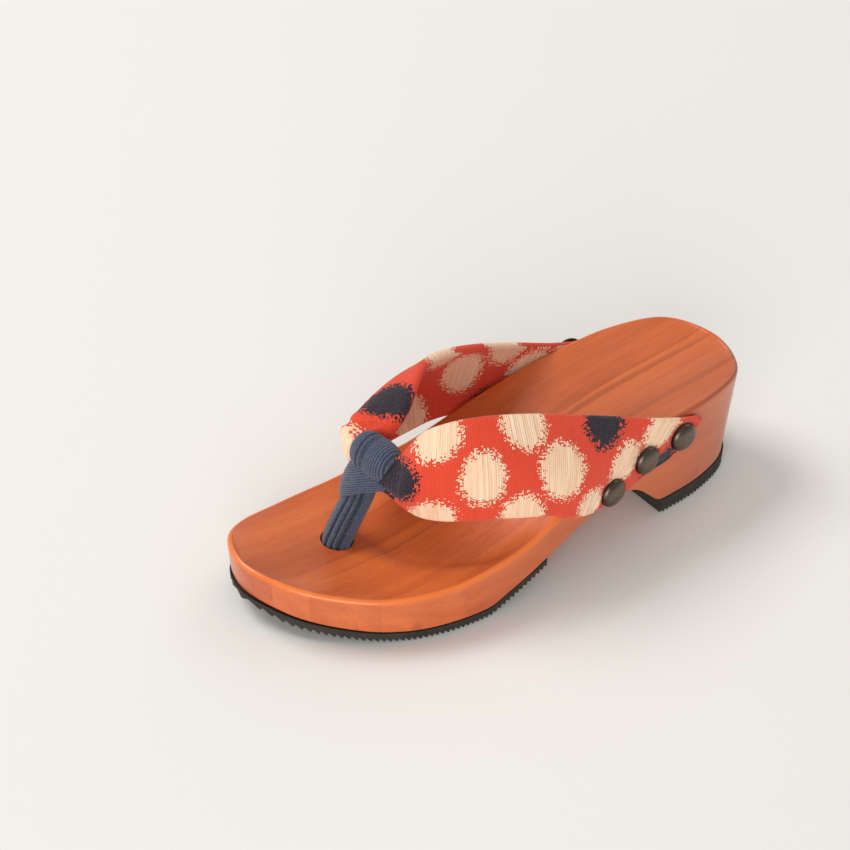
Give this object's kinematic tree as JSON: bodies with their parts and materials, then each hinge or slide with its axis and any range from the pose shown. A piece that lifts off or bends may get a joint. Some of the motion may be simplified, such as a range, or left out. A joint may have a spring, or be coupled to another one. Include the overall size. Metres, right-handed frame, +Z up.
{
  "type": "geta sandal",
  "caption": "Low wooden geta sandal with a dished footbed, block heel, rubber sole pads, and printed fabric straps tied at a navy toe post and tacked to the side walls.",
  "frame": {"origin": "on the floor under the middle of the bounding box", "axes": "+Z up, toe towards -Y, heel towards +Y, outer (lateral) side of the left foot towards +X"},
  "size_m": [0.096, 0.2416, 0.0838],
  "materials": {
    "wood": "satin clear lacquer over warm orange-brown strip-glued wood",
    "rubber": "matt black moulded rubber with a fine cross tread",
    "printed_fabric": "slub-woven cotton, red ground printed with cream and navy spots",
    "navy_fabric": "navy ribbed cotton twill",
    "tack_metal": "antiqued dark bronze, softly polished dome"
  },
  "bodies": {
    "root": {"base": "wood", "forefoot_outsole": "rubber", "heel_tip": "rubber", "straps": "printed_fabric", "toe_post": "navy_fabric", "tack_lateral_1": "tack_metal", "tack_lateral_2": "tack_metal", "tack_lateral_3": "tack_metal", "tack_medial_1": "tack_metal", "tack_medial_2": "tack_metal", "tack_medial_3": "tack_metal"}
  },
  "joints": []
}
